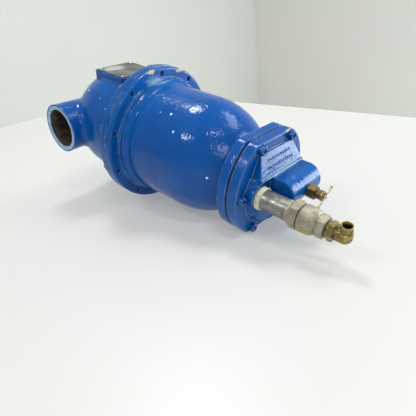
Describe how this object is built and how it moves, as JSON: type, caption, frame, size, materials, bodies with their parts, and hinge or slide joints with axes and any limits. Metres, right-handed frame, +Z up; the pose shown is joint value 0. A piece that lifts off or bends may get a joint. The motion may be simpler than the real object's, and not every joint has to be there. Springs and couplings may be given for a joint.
{
  "type": "float drain separator",
  "caption": "Cast in-line air separator with float drain trap, laid on its side: flanged head and body, bolted trap cover, drain line with check valve and pet cock.",
  "frame": {"origin": "middle of the bounding box's underside, on the surface that the object lies on", "axes": "+Z up; the vessel's axis lies in the XZ plane, running towards +X and about 11 degrees downwards from head to trap cover; the two pipe ports face -Y and +Y"},
  "size_m": [0.5076, 0.2106, 0.2109],
  "materials": {
    "blue_enamel": "thick gloss blue enamel over cast iron, with runs, chips and rubbed edges",
    "gasket": "dark compressed fibre and rubber sheet",
    "nameplate_aluminium": "dull rolled aluminium, smudged",
    "inner_steel": "stainless, lightly stained",
    "galvanised_steel": "zinc-coated pipe",
    "cast_steel": "dull cast and plated steel with thread sealant stains",
    "brass": "turned brass, a little tarnished",
    "bronze": "brown weathered brass",
    "plated_steel": "zinc-plated rod"
  },
  "bodies": {
    "vessel": {"head_casting": "blue_enamel", "body_casting": "blue_enamel", "trap_cover": "blue_enamel", "head_gasket": "gasket", "cover_gasket": "gasket", "head_hex_screws": "blue_enamel", "cover_cap_screws": "blue_enamel", "nameplate": "nameplate_aluminium", "nameplate_drive_screws": "nameplate_aluminium", "outlet_tube": "inner_steel", "swirl_vane_ring": "inner_steel", "baffle_plate": "inner_steel", "baffle_screws": "inner_steel", "float_bracket": "inner_steel", "bracket_screws": "inner_steel", "float_pivot_pin": "inner_steel", "pivot_pin_clips": "inner_steel", "valve_seat": "inner_steel", "drain_nipple": "galvanised_steel", "check_inlet_end": "cast_steel", "check_body_gasket": "gasket", "check_valve_body": "cast_steel", "check_spring": "inner_steel", "check_spring_guide": "inner_steel", "hex_bushing": "brass", "drain_elbow": "brass", "cock_body": "bronze", "cock_packing_nut": "brass"},
    "float": {"float_arm": "inner_steel", "float_ball": "inner_steel"},
    "valve_plug": {"valve_plug": "inner_steel", "valve_plug_pin": "inner_steel"},
    "check_poppet": {"check_poppet": "brass", "check_poppet_seal": "gasket"},
    "cock_needle": {"cock_needle": "brass"},
    "cock_spindle": {"cock_spindle": "plated_steel", "cock_handle_bar": "plated_steel"}
  },
  "joints": [
    {"name": "float_pivot", "type": "hinge", "parent": "vessel", "child": "float", "pos_m": [0.08357, -0.034, 0.0716], "axis": [0.1897, 0, 0.9818], "range_deg": [0, 15]},
    {"name": "valve_plug_slide", "type": "slide", "parent": "vessel", "child": "valve_plug", "axis": [-0.9818, 0, 0.1897], "range_m": [0, 0.00429]},
    {"name": "check_poppet_slide", "type": "slide", "parent": "vessel", "child": "check_poppet", "axis": [0.9818, 0, -0.1897], "range_m": [0, 0.0025], "stiffness_N_per_m": 300, "springref_m": -0.004, "deforming": ["check_spring"]},
    {"name": "cock_needle_slide", "type": "slide", "parent": "vessel", "child": "cock_needle", "axis": [0.9818, 0, -0.1897], "range_m": [0, 0.0015]},
    {"name": "cock_handle_turn", "type": "hinge", "parent": "cock_needle", "child": "cock_spindle", "pos_m": [0.1783, 0.012, 0.05584], "axis": [0.9818, 0, -0.1897], "range_deg": [0, 540]}
  ],
  "couplings": [
    {"joint": "valve_plug_slide", "follows": "float_pivot", "m_per_rad": 0.016374},
    {"joint": "cock_needle_slide", "follows": "cock_handle_turn", "m_per_rad": 0.00015914}
  ]
}
